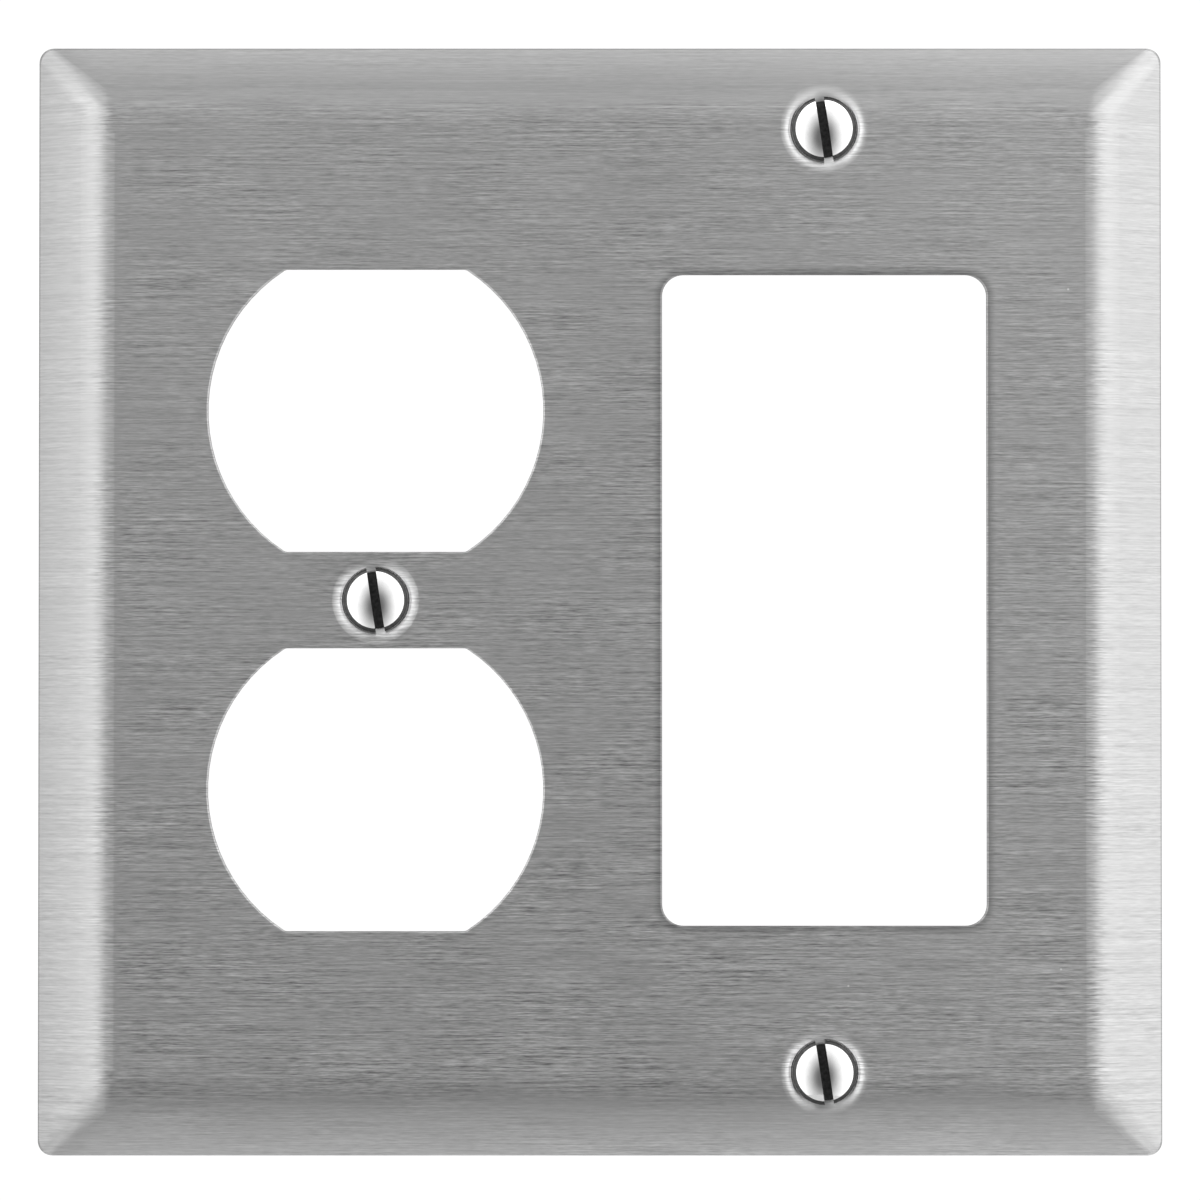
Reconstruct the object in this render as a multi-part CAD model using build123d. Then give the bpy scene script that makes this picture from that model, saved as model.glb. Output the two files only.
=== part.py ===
"""Two-gang stainless wall plate for one duplex receptacle and one decorator device.

The plate is one pressed sheet: a flat face, four sloping sides that end in a short
straight rim, three cut-outs and three countersunk dimples. Each dimple holds an oval
head screw, and each screw is kept in the plate by a thin washer that rides on the
unthreaded neck behind the dimple.

Everything is drawn lying down, with x across the plate, y up the plate and z out of the
wall, and is then stood up by to_wall(): +X right, +Z up, the face towards -Y and the
origin on the wall plane at the plate's centre. Millimetres.
"""

from build123d import *
import math
import os

# Plate
PLATE_WIDTH = 115.9
PLATE_HEIGHT = 114.3
PLATE_DEPTH = 5.6
SHEET = 0.8
RIM_HEIGHT = 0.8  # straight part of the sides, next to the wall
RIM_CORNER_RADIUS = 1.5
RIM_EDGE_RADIUS = 0.5
SLOPE_WIDTH = 6.1  # from the rim to where the slope's plane meets the face's plane
BEND_RADIUS = 5.8  # outside of the bend between face and slope
FACE_CORNER_RADIUS = 3.0
CUT_EDGE_RADIUS = 0.2  # roll-over that the press leaves on the front of each cut edge

# Layout of the two gangs
GANG_SPACING = 46.04
RECEPTACLE_SPACING = 38.9
DEVICE_SCREW_SPACING = 96.84

# Cut-outs
RECEPTACLE_DIAMETER = 34.4
RECEPTACLE_HEIGHT = 29.0
RECEPTACLE_CORNER_RADIUS = 0.8
DEVICE_WIDTH = 33.3
DEVICE_HEIGHT = 66.8
DEVICE_CORNER_RADIUS = 2.2

# Oval head screw
HEAD_DIAMETER = 6.7
HEAD_ANGLE = 82.0
HEAD_LAND = 0.35  # height of the head's widest part
DOME_HEIGHT = 0.8
HEAD_EDGE_RADIUS = 0.5
SLOT_WIDTH = 0.95
SLOT_BELOW_LAND = 0.52
SLOT_TILT = 8.5  # degrees, top of the slot towards -X
NECK_DIAMETER = 2.8
THREAD_DIAMETER = 3.5
SCREW_LENGTH = 12.7  # from under the land to the tip
TIP_CHAMFER = 0.4

# Dimple in the plate
HEAD_SINK = 0.22  # from the face down to the underside of the head's land
SEAT_GAP = 0.05  # between the head's cone and the dimple's, square to both
DIMPLE_EDGE_RADIUS = 1.9  # outside of the bend between face and dimple, if it has room
MIN_BEND = 0.1
DIMPLE_HOLE_DIAMETER = 4.0
DIMPLE_HOLE_WALL = 0.45

# Retaining washer
WASHER_DIAMETER = 7.0
WASHER_THICKNESS = 0.6
WASHER_EDGE_RADIUS = 0.12
WASHER_NECK_GAP = 0.05  # between neck and bore, on the radius
SCREW_TRAVEL = 2.0  # how far the screw draws out before its washer meets the dimple
SHOULDER_GAP = 0.05  # between the washer and the start of the thread

# Worked out from the above
HALF_ANGLE = math.radians(HEAD_ANGLE / 2)
HEAD_SLOPE = math.tan(HALF_ANGLE)  # radius gained per height
SIDE_ANGLE = math.atan2(PLATE_DEPTH - RIM_HEIGHT, SLOPE_WIDTH)
HEAD_BASE_Z = PLATE_DEPTH - HEAD_SINK
SEAT_RADIUS = HEAD_DIAMETER / 2 + SEAT_GAP / math.cos(HALF_ANGLE)
HOLE_TOP_Z = HEAD_BASE_Z - (SEAT_RADIUS - DIMPLE_HOLE_DIAMETER / 2) / HEAD_SLOPE
DIMPLE_BACK_Z = HOLE_TOP_Z - DIMPLE_HOLE_WALL
DIMPLE_BACK_RADIUS = (
    DIMPLE_HOLE_DIAMETER / 2
    + SHEET / math.cos(HALF_ANGLE)
    - DIMPLE_HOLE_WALL * HEAD_SLOPE
)
MOUTH_RADIUS = SEAT_RADIUS + HEAD_SINK * HEAD_SLOPE  # where cone and face would meet
MOUTH_LAND = (RECEPTACLE_SPACING - RECEPTACLE_HEIGHT) / 2 - CUT_EDGE_RADIUS - MOUTH_RADIUS
MOUTH_TURN = math.pi / 2 - HALF_ANGLE
DIMPLE_BEND = min(DIMPLE_EDGE_RADIUS, 0.8 * MOUTH_LAND / math.tan(MOUTH_TURN / 2))
DIMPLE_BACK_BEND = max(DIMPLE_BEND - SHEET, MIN_BEND)
WASHER_FRONT_Z = DIMPLE_BACK_Z - SCREW_TRAVEL
THREAD_START_Z = WASHER_FRONT_Z - WASHER_THICKNESS - SHOULDER_GAP
TIP_Z = HEAD_BASE_Z - SCREW_LENGTH

RECEPTACLE_X = -GANG_SPACING / 2
DEVICE_X = GANG_SPACING / 2
SCREWS = {
    "receptacle": (RECEPTACLE_X, 0.0),
    "upper_device": (DEVICE_X, DEVICE_SCREW_SPACING / 2),
    "lower_device": (DEVICE_X, -DEVICE_SCREW_SPACING / 2),
}


def to_wall(shape):
    """Stands a lying shape up against the wall, its front towards -Y."""
    return Rotation(90, 0, 0) * shape


def side(low, high):
    """The face between an edge of the pan's foot and the same edge of its crest."""
    if low.geom_type == GeomType.LINE:
        return Face(Wire.make_polygon([low @ 0, low @ 1, high @ 1, high @ 0]))
    return Face.make_surface_from_curves(low, high)


def pan(inset, rim_height, slope_width, depth, rim_radius, face_radius, bend_radius):
    """The solid under one skin of the plate: straight rim, sloping sides, flat top.

    The corners are ruled between the rim's small corner and the face's large one.
    """
    width, height = PLATE_WIDTH - 2 * inset, PLATE_HEIGHT - 2 * inset
    outline = RectangleRounded(width, height, rim_radius)
    foot = Pos(0, 0, rim_height) * outline
    crest = Pos(0, 0, depth) * RectangleRounded(
        width - 2 * slope_width, height - 2 * slope_width, face_radius
    )
    sides = [side(low, high) for low, high in zip(foot.edges(), crest.edges())]
    slopes = Solid(Shell([*sides, foot.face(), crest.face()]))
    top = slopes.faces().sort_by(Axis.Z)[-1]
    slopes = fillet(top.edges(), bend_radius)
    return extrude(outline, rim_height) + slopes


def receptacle_outline():
    """A circle with a flat top and bottom, and eased corners between them."""
    outline = Circle(RECEPTACLE_DIAMETER / 2) & Rectangle(
        RECEPTACLE_DIAMETER, RECEPTACLE_HEIGHT
    )
    return fillet(outline.vertices(), RECEPTACLE_CORNER_RADIUS)


def cut_outs():
    """The outlines of the three cut-outs, in place on the wall plane."""
    half = RECEPTACLE_SPACING / 2
    return [
        Pos(RECEPTACLE_X, half) * receptacle_outline(),
        Pos(RECEPTACLE_X, -half) * receptacle_outline(),
        Pos(DEVICE_X, 0)
        * RectangleRounded(DEVICE_WIDTH, DEVICE_HEIGHT, DEVICE_CORNER_RADIUS),
    ]


def round_corner(section, corner, radius):
    """Fillets the one vertex of a flat section that lies at this corner."""
    vertex = section.vertices().sort_by_distance((*corner, 0))[0]
    return fillet(vertex, radius)


def turned(section):
    """Turns a section drawn as (radius, height) round the z axis."""
    return revolve(Rotation(90, 0, 0) * section, Axis.Z)


def dimpled(form, radius, low_z, edge_radius):
    """A form with a cone sunk into its top at each screw, and each cone's mouth rounded."""
    height = PLATE_DEPTH + HEAD_SINK - low_z
    cone = Cone(
        radius, radius + height * HEAD_SLOPE, height,
        align=(Align.CENTER, Align.CENTER, Align.MIN),
    )
    for x, y in SCREWS.values():
        form -= Pos(x, y, low_z) * cone
        seats = form.faces().filter_by(GeomType.CONE)
        seat = seats.sort_by_distance((x, y, low_z))[0]
        mouth = seat.edges().filter_by(GeomType.LINE, reverse=True).sort_by(Axis.Z)[1:]
        form = fillet(mouth, edge_radius)
    return form


def outer_form():
    """Everything under the front skin, with the cut-outs right through it."""
    form = pan(
        0, RIM_HEIGHT, SLOPE_WIDTH, PLATE_DEPTH, RIM_CORNER_RADIUS,
        FACE_CORNER_RADIUS, BEND_RADIUS,
    )
    shoulder = form.edges().filter_by_position(Axis.Z, RIM_HEIGHT, RIM_HEIGHT)
    form = fillet(shoulder, RIM_EDGE_RADIUS)
    for outline in cut_outs():
        form -= extrude(outline, PLATE_DEPTH * 2)
    face = form.faces().sort_by(Axis.Z)[-1]
    form = fillet(face.inner_wires().edges(), CUT_EDGE_RADIUS)
    return dimpled(form, DIMPLE_HOLE_DIAMETER / 2, HOLE_TOP_Z, DIMPLE_BEND)


def inner_form():
    """Everything under the back skin, which is one sheet further in all over."""
    bend_turn = math.tan(SIDE_ANGLE / 2)
    rim_turn = math.tan((math.pi / 2 - SIDE_ANGLE) / 2)
    form = pan(
        SHEET, RIM_HEIGHT - SHEET * rim_turn, SLOPE_WIDTH - SHEET + SHEET * bend_turn,
        PLATE_DEPTH - SHEET, RIM_CORNER_RADIUS - SHEET,
        FACE_CORNER_RADIUS - SHEET * bend_turn, BEND_RADIUS - SHEET,
    )
    return dimpled(form, DIMPLE_BACK_RADIUS, DIMPLE_BACK_Z, DIMPLE_BACK_BEND)


def wall_plate():
    """The plate: the sheet between its two skins, with its three screw holes."""
    sheet = outer_form() - inner_form()
    for x, y in SCREWS.values():
        sheet -= Pos(x, y) * Cylinder(DIMPLE_HOLE_DIAMETER / 2, PLATE_DEPTH * 2)
    return sheet


def screw():
    """One oval head screw, standing on its axis at its height in the plate."""
    head = HEAD_DIAMETER / 2
    neck = NECK_DIAMETER / 2
    thread = THREAD_DIAMETER / 2
    land_top = HEAD_BASE_Z + HEAD_LAND
    dome_top = land_top + DOME_HEIGHT
    neck_top = HEAD_BASE_Z - (head - neck) / HEAD_SLOPE
    dome_radius = (head**2 + DOME_HEIGHT**2) / (2 * DOME_HEIGHT)
    outline = [
        RadiusArc((0, dome_top), (head, land_top), dome_radius),
        Polyline(
            (head, land_top), (head, HEAD_BASE_Z), (neck, neck_top),
            (neck, THREAD_START_Z), (thread, THREAD_START_Z),
            (thread, TIP_Z + TIP_CHAMFER), (thread - TIP_CHAMFER, TIP_Z),
            (0, TIP_Z), (0, dome_top),
        ),
    ]
    section = make_face(outline)
    section = round_corner(section, (head, land_top), HEAD_EDGE_RADIUS)
    slot_floor = HEAD_BASE_Z - SLOT_BELOW_LAND
    slot = Box(
        SLOT_WIDTH, HEAD_DIAMETER * 2, PLATE_DEPTH,
        align=(Align.CENTER, Align.CENTER, Align.MIN),
    )
    return turned(section) - Pos(0, 0, slot_floor) * Rotation(0, 0, SLOT_TILT) * slot


def retaining_washer():
    """One thin washer on the screw's neck, in front of the thread."""
    bore = NECK_DIAMETER / 2 + WASHER_NECK_GAP
    ring = Cylinder(WASHER_DIAMETER / 2, WASHER_THICKNESS)
    ring = fillet(ring.edges().filter_by(GeomType.CIRCLE), WASHER_EDGE_RADIUS)
    ring -= Cylinder(bore, WASHER_THICKNESS * 2)
    return Pos(0, 0, WASHER_FRONT_Z - WASHER_THICKNESS / 2) * ring


def parts():
    """Every node's name and its solid, upright against the wall."""
    found = {"wall_plate": wall_plate()}
    one_screw, one_washer = screw(), retaining_washer()
    for place, (x, y) in SCREWS.items():
        found[f"{place}_screw"] = Pos(x, y) * one_screw
        found[f"{place}_screw_washer"] = Pos(x, y) * one_washer
    return {name: to_wall(shape) for name, shape in found.items()}


os.makedirs("parts", exist_ok=True)
for name, shape in parts().items():
    export_step(shape, f"parts/{name}.step")
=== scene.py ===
"""A two-gang stainless wall plate in a white light tent.

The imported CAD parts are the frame. The plate and the washers keep their CAD shape and
get their finish here. The screws are remade with a real thread and stand for the CAD
ones. Metres, with +X right, +Z up and the plate's face towards -Y.
"""

import math

import bpy
from mathutils import Matrix, Vector


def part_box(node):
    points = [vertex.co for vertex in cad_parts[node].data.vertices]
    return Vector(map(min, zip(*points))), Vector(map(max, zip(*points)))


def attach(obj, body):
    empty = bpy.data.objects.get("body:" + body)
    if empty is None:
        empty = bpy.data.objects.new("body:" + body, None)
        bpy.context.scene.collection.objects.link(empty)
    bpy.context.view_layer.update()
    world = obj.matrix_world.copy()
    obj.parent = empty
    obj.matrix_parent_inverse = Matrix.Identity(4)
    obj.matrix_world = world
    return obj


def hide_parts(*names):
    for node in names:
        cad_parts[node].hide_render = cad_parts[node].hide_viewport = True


MM = 0.001

# Camera: long lens, a little below the plate's centre and aimed at it
CAMERA_DISTANCE = 0.7944
CAMERA_DROP = math.radians(1.33)
FIELD = 0.1231  # width of the view at the plate's face
SENSOR = 36.0

# Light tent: brightness by direction, with 1 as paper white
BACKGROUND = 1.05
TENT_LEFT = 1.5
TENT_RIGHT = 1.5
TENT_TOP = 0.15
TENT_FLOOR = 1.0
TENT_BACK = 0.45
TENT_BEND = (0.7, 0.95)  # how far up, as a sine, the sides turn into the top
LENS_DARK = 0.1  # the dark patch round the camera
LENS_WIDTH = 0.42
LENS_HEIGHT = 0.62
LENS_DROP = 0.16
LENS_EDGE = (0.3, 1.7)
LAMP_PLACE = (0.0, -0.09, 0.18)  # a small soft box above and in front
LAMP_WIDTH = 0.6
LAMP_HEIGHT = 0.12
LAMP_POWER = 0.19
FLOOR_DROP = 0.3  # how far the floor lies under the plate
FLOOR_RADIUS = 0.4

# Brushed steel
STEEL = 0.5
ROUGH = 0.42
ANISOTROPY = 0.9
GRAIN_CONTRAST = 2.6
GRAIN_BUMP = 0.03 * MM
FINE_STROKE = (1.6 * MM, 0.13 * MM)  # length and width of the marks
LONG_STROKE = (10 * MM, 0.2 * MM)
PATCH = (14 * MM, 5 * MM)
SCRATCH = (26 * MM, 0.14 * MM)
PATCH_GRAIN = (0.7, 1.3)  # how strong the grain is between patches and in them
GRAIN_HEIGHTS = (30 * MM, -50 * MM)  # heights between which the grain gets coarser
HEIGHT_GRAIN = (0.9, 1.3)
DARKEST = 0.3  # limits of the tone
BRIGHTEST = 0.95
SCRATCH_SHINE = 0.05
SPECK_SHINE = 0.3
SPECK_SPACING = 7 * MM
SPECK_SIZE = (0.02, 0.012)  # edge and centre of a speck, as a share of the spacing
SPECK_SHARE = 0.6  # how many of the places have no speck
SLOPE_GRAIN = 0.35  # how strong the grain is on the slopes, against the face
BEND_DEPTH = 0.5 * MM  # how far behind the face the grain has calmed down
BEND_BAND = (48.4 * MM, 51.2 * MM)  # the upper and lower bends, from the plate's centre
BEND_PAINTED_SHADE = (0.88, 0.78)  # painted shade on the lower and the upper bend
RIM_BAND = (51.4 * MM, 57.0 * MM)  # from bend to rim
# Painted highlight: lighter steel towards the upper and lower rims.
RIM_PAINTED_HIGHLIGHT = 1.55
MITRE_BLEND = 0.8 * MM
LEFT_BAND = (-57.5 * MM, -52.0 * MM)  # the left slope, from rim to bend
# Painted shade: darker steel towards the left rim.
LEFT_RIM_PAINTED_SHADE = 0.8
RIGHT_PAINTED_LIGHT = 1.12  # painted light: tone on the right of the face, against the left
DRIFT_WIDTH = 45 * MM
# Painted highlight: lighter steel round each screw's dimple.
DIMPLE_PAINTED_HIGHLIGHT = 1.35
DIMPLE_RADIUS = (3.8 * MM, 4.7 * MM)
DEVICE_OPENING = (33.3 * MM, 66.8 * MM, 2.2 * MM)  # width, height, corner radius
DEVICE_EDGE_PAINTED_SHADE = 0.62  # painted shade where the press has rolled the face into the device opening
DEVICE_EDGE_WIDTH = 1.1 * MM

# Screw, from the CAD part's box inwards
LAND = 0.35 * MM
LAND_BELOW_TOP = 1.15 * MM  # from the dome's top down to the underside of the land
DOME_RISE = 0.8 * MM
EDGE_ROUND = 0.5 * MM
HEAD_SLOPE = math.tan(math.radians(41))
SLOT_WIDTH = 0.95 * MM
SLOT_BELOW_LAND = 0.52 * MM
SLOT_TILT = math.radians(8.5)
NECK = 1.4 * MM
CROWN = 2.9 * MM  # the polished part of the head
ROUND_LIMIT = 0.3  # the painted shade on the round ends where it turns into the land
THREAD = 1.75 * MM
THREAD_ROOT = 1.33 * MM
PITCH = 0.7938 * MM
THREAD_LENGTH = 7.97 * MM
TIP_CHAMFER = 0.4 * MM
RUNOUT = 0.6  # of a pitch, where the thread fades into the neck
CREST = 0.0625  # half of the crest's flat, as a share of the pitch
FLANK = 0.3125  # each flank's share of the pitch
THREAD_LEAD = 0.4 * MM  # plain neck kept above the thread
DOME_ABOVE_BOX = 0.015 * MM  # the dome's very top, which the slot takes away
SLOT_CUT = 6 * MM  # how far the slot's cutter reaches from the axis
TOUCH = 0.01 * MM
SHARP_ANGLE = math.radians(38)
COLUMNS = 72
DOME_ROWS, ROUND_ROWS, CONE_ROWS = 24, 10, 6
ROWS_PER_PITCH = 14

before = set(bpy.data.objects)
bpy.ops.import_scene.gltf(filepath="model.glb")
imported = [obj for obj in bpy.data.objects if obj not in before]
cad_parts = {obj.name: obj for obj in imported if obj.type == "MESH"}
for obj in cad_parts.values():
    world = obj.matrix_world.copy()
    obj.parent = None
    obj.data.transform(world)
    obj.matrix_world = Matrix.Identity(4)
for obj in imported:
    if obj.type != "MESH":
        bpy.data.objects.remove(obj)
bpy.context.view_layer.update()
plate_low, plate_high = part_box("wall_plate")
plate_centre = (plate_low + plate_high) / 2
SCREWS = ("receptacle_screw", "upper_device_screw", "lower_device_screw")


# Node helpers


def new_tree(owner):
    """An empty node tree on a material or world."""
    owner.use_nodes = True
    owner.node_tree.nodes.clear()
    return owner.node_tree


def add(tree, kind, inputs=None, **settings):
    """A node of this kind. Inputs hold numbers, or sockets to link from."""
    node = tree.nodes.new(kind)
    for name, value in settings.items():
        setattr(node, name, value)
    for name, value in (inputs or {}).items():
        if isinstance(value, bpy.types.NodeSocket):
            tree.links.new(value, node.inputs[name])
        else:
            node.inputs[name].default_value = value
    return node


def calc(tree, operation, *values):
    """The result of a Math node on numbers or sockets."""
    node = add(tree, "ShaderNodeMath", dict(enumerate(values)), operation=operation)
    return node.outputs[0]


def vector(tree, operation, *values):
    """A Vector Math node on vectors or sockets."""
    return add(tree, "ShaderNodeVectorMath", dict(enumerate(values)), operation=operation)


def spread(tree, value, low, high, to_low, to_high, smooth=False):
    """A value carried from one range to another, and held at its ends."""
    inputs = {
        "Value": value, "From Min": low, "From Max": high,
        "To Min": to_low, "To Max": to_high,
    }
    kind = "SMOOTHSTEP" if smooth else "LINEAR"
    return add(tree, "ShaderNodeMapRange", inputs, interpolation_type=kind).outputs[0]


def multiply(tree, *values):
    """The product of numbers and sockets."""
    result = values[0]
    for value in values[1:]:
        result = calc(tree, "MULTIPLY", result, value)
    return result


# Stage, light and camera


def light_tent():
    """The world: a white tent with a dark patch round the camera, seen against white."""
    world = bpy.data.worlds.new("tent")
    bpy.context.scene.world = world
    tree = new_tree(world)
    direction = add(tree, "ShaderNodeTexCoord").outputs["Generated"]
    axes = add(tree, "ShaderNodeSeparateXYZ", {0: direction}).outputs
    across = calc(tree, "DIVIDE", axes["X"], LENS_WIDTH)
    up = calc(tree, "DIVIDE", calc(tree, "ADD", axes["Z"], LENS_DROP), LENS_HEIGHT)
    squares = [calc(tree, "MULTIPLY", value, value) for value in (across, up)]
    reach = calc(tree, "SQRT", calc(tree, "ADD", *squares))
    lens = spread(tree, reach, *LENS_EDGE, LENS_DARK, 1.0, smooth=True)
    lens = calc(tree, "MAXIMUM", lens, calc(tree, "GREATER_THAN", axes["Y"], 0.0))
    sides = spread(tree, axes["X"], -1.0, 1.0, TENT_LEFT, TENT_RIGHT)
    top = spread(tree, axes["Z"], *TENT_BEND, 1.0, TENT_TOP, smooth=True)
    bottom = spread(tree, axes["Z"], -TENT_BEND[0], -TENT_BEND[1], 1.0, TENT_FLOOR, smooth=True)
    behind = spread(tree, axes["Y"], 0.0, 0.5, 1.0, TENT_BACK)
    level = multiply(tree, sides, top, bottom, lens, behind)
    seen = add(tree, "ShaderNodeLightPath").outputs["Is Camera Ray"]
    strength = add(tree, "ShaderNodeMix", {0: seen, 2: level, 3: BACKGROUND}, data_type="FLOAT").outputs[0]
    shade = add(tree, "ShaderNodeBackground", {"Color": (1, 1, 1, 1), "Strength": strength})
    add(tree, "ShaderNodeOutputWorld", {"Surface": shade.outputs[0]})


def lamp():
    """A soft box that lifts the upper part of the plate."""
    data = bpy.data.lights.new("soft_box", "AREA")
    data.energy, data.shape = LAMP_POWER, "RECTANGLE"
    data.size, data.size_y = LAMP_WIDTH, LAMP_HEIGHT
    box = bpy.data.objects.new("soft_box", data)
    bpy.context.scene.collection.objects.link(box)
    box.location = LAMP_PLACE
    box.rotation_mode = "QUATERNION"
    box.rotation_quaternion = (plate_centre - box.location).to_track_quat("-Z", "Y")
    box.visible_camera = False


def floor():
    """A pale floor under the plate."""
    bpy.ops.mesh.primitive_circle_add(
        vertices=96, radius=FLOOR_RADIUS, fill_type="NGON",
        location=(0, 0, plate_low.z - FLOOR_DROP),
    )
    disc = bpy.context.object
    disc.name = "floor"
    material = bpy.data.materials.new("floor")
    tree = new_tree(material)
    shader = add(tree, "ShaderNodeBsdfPrincipled", {"Base Color": (0.8, 0.8, 0.8, 1), "Roughness": 0.9})
    add(tree, "ShaderNodeOutputMaterial", {"Surface": shader.outputs[0]})
    disc.data.materials.append(material)


def camera():
    data = bpy.data.cameras.new("camera")
    data.sensor_width = SENSOR
    data.lens = SENSOR * CAMERA_DISTANCE / FIELD
    data.clip_start, data.clip_end = 0.01, 20
    view = bpy.data.objects.new("camera", data)
    bpy.context.scene.collection.objects.link(view)
    aim = Vector((plate_centre.x, plate_low.y, plate_centre.z))
    back = Vector((0, -math.cos(CAMERA_DROP), -math.sin(CAMERA_DROP)))
    view.location = aim + back * CAMERA_DISTANCE
    view.rotation_mode = "QUATERNION"
    view.rotation_quaternion = (-back).to_track_quat("-Z", "Y")
    bpy.context.scene.camera = view


# Materials


def streaks(tree, place, length, width, seed, detail=2.0):
    """Noise drawn out along X: marks about this long and this wide."""
    stretched = add(tree, "ShaderNodeMapping", {
        "Vector": place, "Scale": (1 / length, 1 / width, 1 / width), "Location": (seed, seed, seed),
    })
    noise = add(tree, "ShaderNodeTexNoise", {
        "Vector": stretched.outputs[0], "Scale": 1.0, "Detail": detail, "Roughness": 0.6,
    })
    return noise.outputs[0]


def grey(tree, value):
    """A neutral colour of this brightness."""
    return add(tree, "ShaderNodeCombineColor", {0: value, 1: value, 2: value}).outputs[0]


def upright_distance(tree, flat, centre):
    """Distance from a point on the plate's face, with depth left out."""
    return vector(tree, "DISTANCE", flat, (centre.x, 0, centre.z)).outputs["Value"]


def painted_slope_shading(tree, axes):
    """Painted shading over the plate: painted shade along the upper and lower bends and towards the left
    rim, painted highlight at the upper and lower rims, painted light on the right of the face.
    """
    side = calc(tree, "ABSOLUTE", axes["X"])
    up = calc(tree, "ABSOLUTE", axes["Z"])
    bend_painted_shade = spread(tree, axes["Z"], -BEND_BAND[0], BEND_BAND[0], *BEND_PAINTED_SHADE)
    bend = spread(tree, up, *BEND_BAND, 1.0, bend_painted_shade, smooth=True)
    rim = spread(tree, up, *RIM_BAND, 1.0, RIM_PAINTED_HIGHLIGHT)
    past_mitre = calc(tree, "ADD", calc(tree, "SUBTRACT", up, side), plate_high.x - plate_high.z)
    level = calc(tree, "SUBTRACT", multiply(tree, bend, rim), 1.0)
    level = multiply(tree, level, spread(tree, past_mitre, 0.0, MITRE_BLEND, 0.0, 1.0))
    left = spread(tree, axes["X"], *LEFT_BAND, LEFT_RIM_PAINTED_SHADE, 1.0)
    right_painted_light = spread(tree, axes["X"], 0.0, DRIFT_WIDTH, 1.0, RIGHT_PAINTED_LIGHT, smooth=True)
    return multiply(tree, calc(tree, "ADD", level, 1.0), left, right_painted_light)


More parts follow.
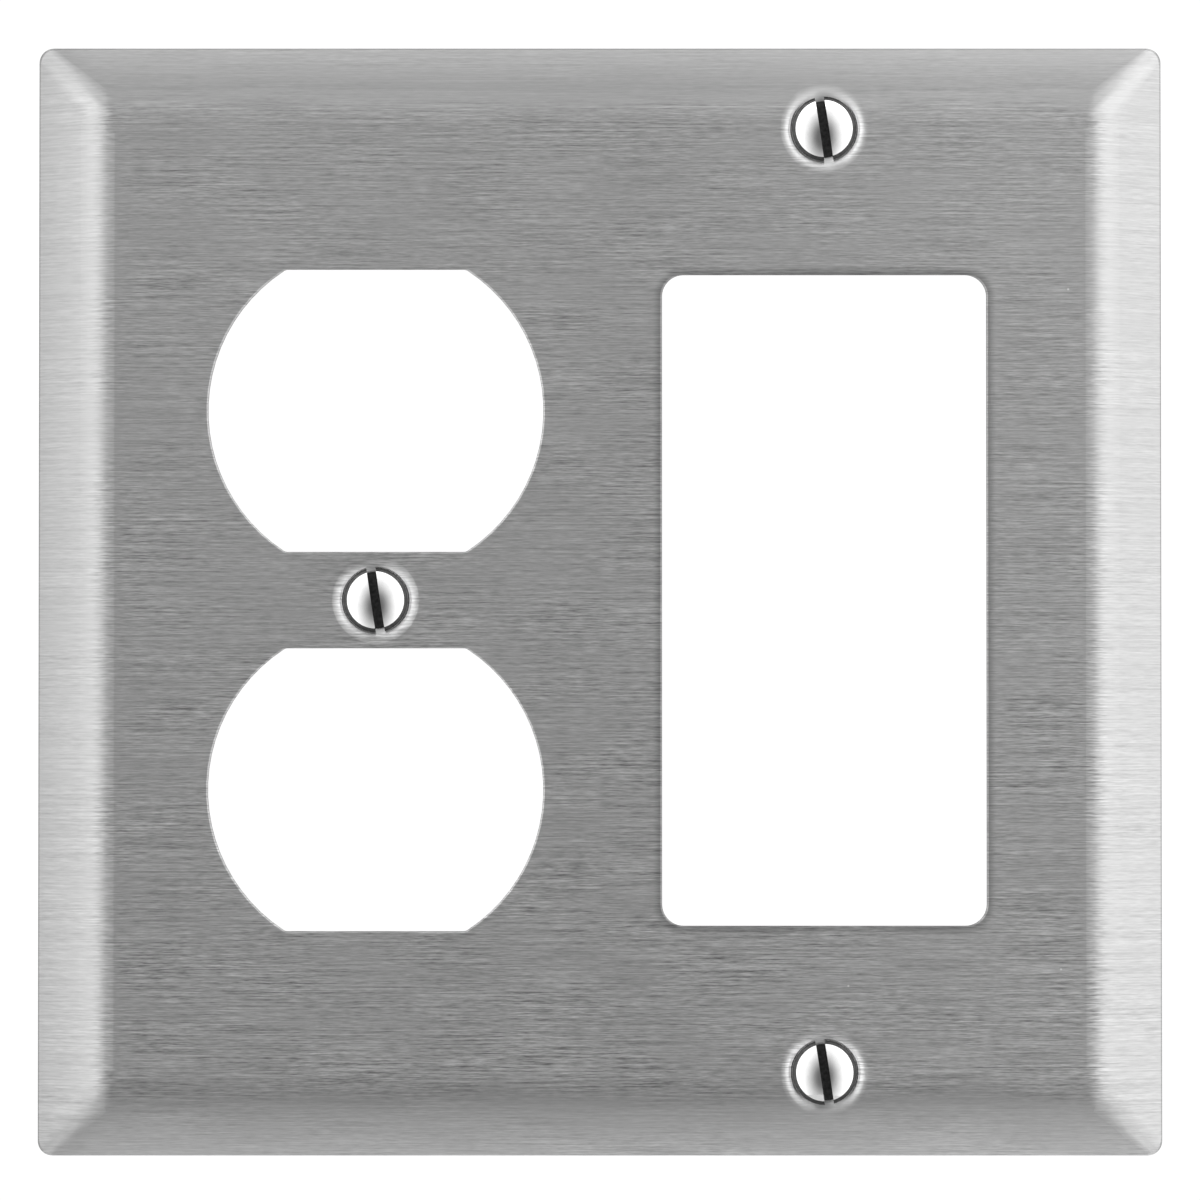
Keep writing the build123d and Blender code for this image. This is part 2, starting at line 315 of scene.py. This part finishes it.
def brushed_steel():
    """Stainless steel with a straight grain across the plate."""
    material = bpy.data.materials.new("brushed_steel")
    tree = new_tree(material)
    place = add(tree, "ShaderNodeTexCoord").outputs["Object"]
    axes = add(tree, "ShaderNodeSeparateXYZ", {0: place}).outputs
    flat = add(tree, "ShaderNodeCombineXYZ", {"X": axes["X"], "Z": axes["Z"]}).outputs[0]

    # Grain: short fine strokes, longer ones, and cloudy patches where they are stronger
    fine = streaks(tree, flat, *FINE_STROKE, seed=3.0)
    long = streaks(tree, flat, *LONG_STROKE, seed=9.0)
    patches = streaks(tree, flat, *PATCH, seed=21.0, detail=1.0)
    grain = calc(tree, "ADD", multiply(tree, fine, 0.5), multiply(tree, long, 0.5))
    offset = calc(tree, "SUBTRACT", grain, 0.5)
    lower = spread(tree, axes["Z"], *GRAIN_HEIGHTS, *HEIGHT_GRAIN)
    calm = spread(tree, axes["Y"], plate_low.y, plate_low.y + BEND_DEPTH, 1.0, SLOPE_GRAIN)
    strength = multiply(tree, spread(tree, patches, 0.35, 0.65, *PATCH_GRAIN), lower, calm)
    marks = multiply(tree, offset, strength)

    # Sparse long scratches and specks
    scratch = streaks(tree, flat, *SCRATCH, seed=40.0, detail=0.0)
    scratch = spread(tree, scratch, 0.72, 0.78, 0.0, 1.0)
    cells = add(tree, "ShaderNodeTexVoronoi", {"Vector": flat, "Scale": 1 / SPECK_SPACING})
    chance = add(tree, "ShaderNodeSeparateColor", {0: cells.outputs["Color"]}).outputs[0]
    specks = spread(tree, cells.outputs["Distance"], *SPECK_SIZE, 0.0, 1.0)
    specks = multiply(tree, specks, calc(tree, "GREATER_THAN", chance, SPECK_SHARE))

    # Tone: painted highlight round the dimples, and painted shade at the roll into the device opening
    screws = [sum(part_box(name), Vector()) / 2 for name in SCREWS]
    reach = upright_distance(tree, flat, screws[0])
    for centre in screws[1:]:
        reach = calc(tree, "MINIMUM", reach, upright_distance(tree, flat, centre))
    dimple_highlight = spread(tree, reach, *DIMPLE_RADIUS, DIMPLE_PAINTED_HIGHLIGHT, 1.0, smooth=True)
    width, height, corner = DEVICE_OPENING
    centre = (screws[1] + screws[2]) / 2
    inner = (width / 2 - corner, 0, height / 2 - corner)
    past = vector(tree, "SUBTRACT", flat, (centre.x, 0, centre.z)).outputs[0]
    past = vector(tree, "SUBTRACT", vector(tree, "ABSOLUTE", past).outputs[0], inner).outputs[0]
    past = vector(tree, "LENGTH", vector(tree, "MAXIMUM", past, (0, 0, 0)).outputs[0]).outputs["Value"]
    # Painted shade: darker steel in a band round the device opening, where the face rolls in.
    rolled = spread(tree, past, corner, corner + DEVICE_EDGE_WIDTH, DEVICE_EDGE_PAINTED_SHADE, 1.0, smooth=True)

    tone = calc(tree, "ADD", multiply(tree, marks, GRAIN_CONTRAST), 1.0)
    tone = calc(tree, "MAXIMUM", tone, DARKEST)
    # The grain's tone times the painted highlight round the dimples, the painted shade at the device
    # opening and the painted slope shading.
    tone = multiply(tree, tone, STEEL, dimple_highlight, rolled, painted_slope_shading(tree, axes))
    tone = calc(tree, "ADD", tone, multiply(tree, scratch, SCRATCH_SHINE))
    tone = calc(tree, "ADD", tone, multiply(tree, specks, SPECK_SHINE))
    tone = calc(tree, "MINIMUM", tone, BRIGHTEST)
    rough = spread(tree, marks, -0.2, 0.2, ROUGH * 1.12, ROUGH * 0.88)
    bump = add(tree, "ShaderNodeBump", {"Height": marks, "Distance": GRAIN_BUMP, "Strength": 1.0})
    upright = add(tree, "ShaderNodeCombineXYZ", {"Z": 1.0}).outputs[0]
    tangent = add(
        tree, "ShaderNodeVectorTransform", {0: upright},
        vector_type="VECTOR", convert_from="OBJECT", convert_to="WORLD",
    )
    shader = add(tree, "ShaderNodeBsdfPrincipled", {
        "Base Color": grey(tree, tone), "Metallic": 1.0, "Roughness": rough,
        "Anisotropic": ANISOTROPY, "Normal": bump.outputs[0], "Tangent": tangent.outputs[0],
    })
    add(tree, "ShaderNodeOutputMaterial", {"Surface": shader.outputs[0]})
    return material


def metal(name, tone, rough, grain, bump):
    """A plain metal. Tone and roughness are each a middle value and how far noise moves it."""
    (tone, tone_spread), (rough, rough_spread) = tone, rough
    material = bpy.data.materials.new(name)
    tree = new_tree(material)
    place = add(tree, "ShaderNodeTexCoord").outputs["Object"]
    noise = add(tree, "ShaderNodeTexNoise", {"Vector": place, "Scale": 1 / grain, "Detail": 4.0}).outputs[0]
    shade = spread(tree, noise, 0.3, 0.7, tone - tone_spread, tone + tone_spread)
    gloss = spread(tree, noise, 0.3, 0.7, rough + rough_spread, rough - rough_spread)
    relief = add(tree, "ShaderNodeBump", {"Height": noise, "Distance": bump, "Strength": 1.0})
    shader = add(tree, "ShaderNodeBsdfPrincipled", {
        "Base Color": grey(tree, shade), "Metallic": 1.0, "Roughness": gloss, "Normal": relief.outputs[0],
    })
    add(tree, "ShaderNodeOutputMaterial", {"Surface": shader.outputs[0]})
    return material


def nylon():
    """Off-white nylon with a faint mould texture."""
    material = bpy.data.materials.new("nylon")
    tree = new_tree(material)
    place = add(tree, "ShaderNodeTexCoord").outputs["Object"]
    noise = add(tree, "ShaderNodeTexNoise", {"Vector": place, "Scale": 1200.0, "Detail": 4.0}).outputs[0]
    ramp = add(tree, "ShaderNodeMix", {
        0: noise, 6: (0.74, 0.71, 0.62, 1), 7: (0.84, 0.82, 0.76, 1),
    }, data_type="RGBA").outputs[2]
    rough = spread(tree, noise, 0.3, 0.7, 0.42, 0.56)
    relief = add(tree, "ShaderNodeBump", {"Height": noise, "Distance": 0.02 * MM, "Strength": 0.6})
    shader = add(tree, "ShaderNodeBsdfPrincipled", {
        "Base Color": ramp, "Roughness": rough, "Normal": relief.outputs[0],
        "Subsurface Weight": 0.15, "Subsurface Scale": 0.0006,
    })
    add(tree, "ShaderNodeOutputMaterial", {"Surface": shader.outputs[0]})
    return material


def paint(node, material):
    """Give a CAD node this material."""
    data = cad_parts[node].data
    data.materials.clear()
    data.materials.append(material)


# Screws


def screw_rows(top, tip):
    """(height, radius, is thread) down the screw's outside, from under the dome's top."""
    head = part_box(SCREWS[0])
    radius = (head[1].x - head[0].x) / 2
    under = top - LAND_BELOW_TOP
    land_top = under + LAND
    ball = (radius ** 2 + DOME_RISE ** 2) / (2 * DOME_RISE)
    ball_centre = land_top + DOME_RISE - ball
    # The edge's round touches the dome inside and the land outside
    reach = radius - EDGE_ROUND
    round_z = ball_centre + math.sqrt((ball - EDGE_ROUND) ** 2 - reach ** 2)
    start = math.atan2(round_z - ball_centre, reach)
    rows = []
    for i in range(1, DOME_ROWS + 1):
        across = ball * math.cos(start) * i / DOME_ROWS
        rows.append((ball_centre + math.sqrt(ball ** 2 - across ** 2), across, False))
    for i in range(1, ROUND_ROWS + 1):
        angle = start * (1 - i / ROUND_ROWS)
        rows.append((round_z + EDGE_ROUND * math.sin(angle), reach + EDGE_ROUND * math.cos(angle), False))
    rows.append((under, radius, False))
    neck_top = under - (radius - NECK) / HEAD_SLOPE
    for i in range(1, CONE_ROWS + 1):
        part = i / CONE_ROWS
        rows.append((under + (neck_top - under) * part, radius + (NECK - radius) * part, False))
    thread_top = tip + THREAD_LENGTH
    rows.append((thread_top + THREAD_LEAD, NECK, False))
    count = round(THREAD_LENGTH / PITCH * ROWS_PER_PITCH)
    rows += [(thread_top - THREAD_LENGTH * i / count, NECK, True) for i in range(count + 1)]
    return rows


def thread_radius(height, angle, thread_top, tip):
    """A right-hand 60 degree thread that runs out at both ends."""
    phase = (height / PITCH - angle / math.tau) % 1.0
    flank = min(1.0, max(0.0, (abs(phase - 0.5) - CREST) / FLANK))
    radius = THREAD + (THREAD_ROOT - THREAD) * flank
    runout = min(1.0, (thread_top - height) / (RUNOUT * PITCH))
    radius = NECK + (radius - NECK) * runout
    return min(radius, THREAD - TIP_CHAMFER + (height - tip))


def screw_mesh(name, top, tip):
    """One closed turned mesh, with its axis on z and its head up."""
    thread_top = tip + THREAD_LENGTH
    rows = screw_rows(top, tip)
    points = [(0, 0, top)]
    for height, radius, threaded in rows:
        for column in range(COLUMNS):
            angle = math.tau * column / COLUMNS
            here = thread_radius(height, angle, thread_top, tip) if threaded else radius
            points.append((here * math.cos(angle), here * math.sin(angle), height))
    points.append((0, 0, tip))
    faces = [(0, 1 + c, 1 + (c + 1) % COLUMNS) for c in range(COLUMNS)]
    for row in range(len(rows) - 1):
        a, b = 1 + row * COLUMNS, 1 + (row + 1) * COLUMNS
        for c in range(COLUMNS):
            d = (c + 1) % COLUMNS
            faces.append((a + c, b + c, b + d, a + d))
    last = len(points) - 1
    a = last - COLUMNS
    faces += [(last, a + (c + 1) % COLUMNS, a + c) for c in range(COLUMNS)]
    mesh = bpy.data.meshes.new(name)
    mesh.from_pydata(points, [], faces)
    mesh.validate()
    return mesh


def slot_cutter(floor_z, top):
    """A closed box that cuts the slot, turned to the slot's tilt."""
    half, long, high = SLOT_WIDTH / 2, SLOT_CUT, top + 1 * MM
    turn_x, turn_y = math.cos(SLOT_TILT), math.sin(SLOT_TILT)
    points = []
    for z in (floor_z, high):
        for x, y in ((-half, -long), (half, -long), (half, long), (-half, long)):
            points.append((x * turn_x - y * turn_y, x * turn_y + y * turn_x, z))
    sides = [(i, (i + 1) % 4, 4 + (i + 1) % 4, 4 + i) for i in range(4)]
    mesh = bpy.data.meshes.new("slot")
    mesh.from_pydata(points, [], [(3, 2, 1, 0), (4, 5, 6, 7)] + sides)
    cutter = bpy.data.objects.new("slot", mesh)
    bpy.context.scene.collection.objects.link(cutter)
    return cutter


def slotted(mesh, floor_z, top):
    """The mesh with the slot cut through its head."""
    blank = bpy.data.objects.new("blank", mesh)
    bpy.context.scene.collection.objects.link(blank)
    cutter = slot_cutter(floor_z, top)
    cut = blank.modifiers.new("slot", "BOOLEAN")
    cut.operation, cut.solver, cut.object = "DIFFERENCE", "EXACT", cutter
    depsgraph = bpy.context.evaluated_depsgraph_get()
    result = bpy.data.meshes.new_from_object(blank.evaluated_get(depsgraph))
    bpy.data.objects.remove(blank)
    bpy.data.objects.remove(cutter)
    return result


def shade_screw(mesh, land_z, floor_z, crown, edge, slot, shank):
    """Smooth shading with crisp slot edges, and a finish for each part of the screw; the near-black edge
    round and slot are painted shade.
    """
    mesh.materials.clear()
    for material in (crown, edge, slot, shank):
        mesh.materials.append(material)
    for face in mesh.polygons:
        centre, normal = face.center, face.normal
        across = math.hypot(centre.x, centre.y)
        side = abs(centre.x * math.cos(SLOT_TILT) + centre.y * math.sin(SLOT_TILT))
        in_slot = side < SLOT_WIDTH / 2 + TOUCH and centre.z > floor_z - TOUCH
        # The slot's faces take the near-black slot metal: painted shade down in the slot.
        if in_slot and centre.z < land_z + DOME_RISE - 2 * TOUCH:
            face.material_index = 2
        # The edge's round outside the crown takes the near-black edge metal: a painted shade ring round the
        # crown.
        elif across > CROWN and centre.z > land_z - LAND and normal.z > ROUND_LIMIT:
            face.material_index = 1
        elif centre.z < land_z - LAND - TOUCH:
            face.material_index = 3
    mesh.shade_smooth()
    mesh.set_sharp_from_angle(angle=SHARP_ANGLE)


def screws(crown, edge, slot, shank):
    """One threaded screw in the place of each CAD screw, riding on its body."""
    low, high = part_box(SCREWS[0])
    top, tip = -low.y + DOME_ABOVE_BOX, -high.y
    under = top - LAND_BELOW_TOP
    floor_z = under - SLOT_BELOW_LAND
    mesh = slotted(screw_mesh("screw", top, tip), floor_z, top)
    shade_screw(mesh, under + LAND, floor_z, crown, edge, slot, shank)
    mesh.transform(Matrix.Rotation(math.radians(90), 4, "X"))
    for name in SCREWS:
        low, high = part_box(name)
        piece = bpy.data.objects.new(name + "_threaded", mesh.copy())
        bpy.context.scene.collection.objects.link(piece)
        piece.location = ((low.x + high.x) / 2, 0, (low.z + high.z) / 2)
        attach(piece, name)
        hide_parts(name)


bpy.context.scene.view_settings.view_transform = "Standard"
light_tent()
lamp()
floor()
camera()
paint("wall_plate", brushed_steel())
washer_material = nylon()
for name in SCREWS:
    paint(name + "_washer", washer_material)
screws(
    crown=metal("polished_steel", (0.9, 0.04), (0.08, 0.03), grain=1.2 * MM, bump=0.004 * MM),
    # The head edge and slot metals are near black: painted shade on the edge round and in the slot.
    edge=metal("head_edge_painted_shade", (0.07, 0.02), (0.4, 0.05), grain=0.4 * MM, bump=0.01 * MM),
    slot=metal("slot", (0.07, 0.02), (0.5, 0.08), grain=0.3 * MM, bump=0.03 * MM),
    shank=metal("zinc", (0.4, 0.08), (0.28, 0.06), grain=0.5 * MM, bump=0.004 * MM),
)
